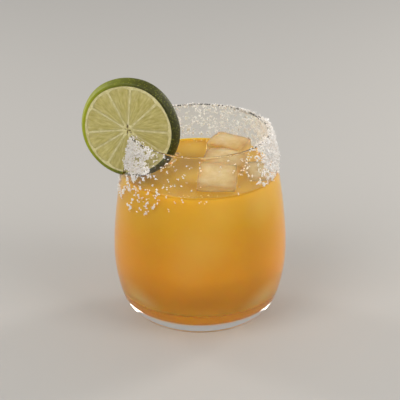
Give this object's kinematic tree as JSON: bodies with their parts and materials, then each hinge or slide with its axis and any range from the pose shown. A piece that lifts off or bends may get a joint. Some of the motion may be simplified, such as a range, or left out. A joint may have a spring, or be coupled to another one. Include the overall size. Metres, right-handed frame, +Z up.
{
  "type": "margarita cocktail",
  "caption": "Stemless glass of cloudy orange-yellow cocktail with a thick floor and drawn-in rim, filled to below the lip, with a slit lime wheel seated on the rim",
  "frame": {"origin": "centre of the glass's flat base", "axes": "+Z up, -Y the front that faces the viewer, -X the side of the rim that carries the lime wheel"},
  "size_m": [0.1062, 0.09, 0.1341],
  "materials": {
    "glass": "clear, fire-polished",
    "drink": "cloudy citrus liquid",
    "lime": "wet cut citrus, waxy peel"
  },
  "bodies": {
    "root": {"glass": "glass", "drink": "drink", "lime_wheel": "lime"}
  },
  "joints": []
}
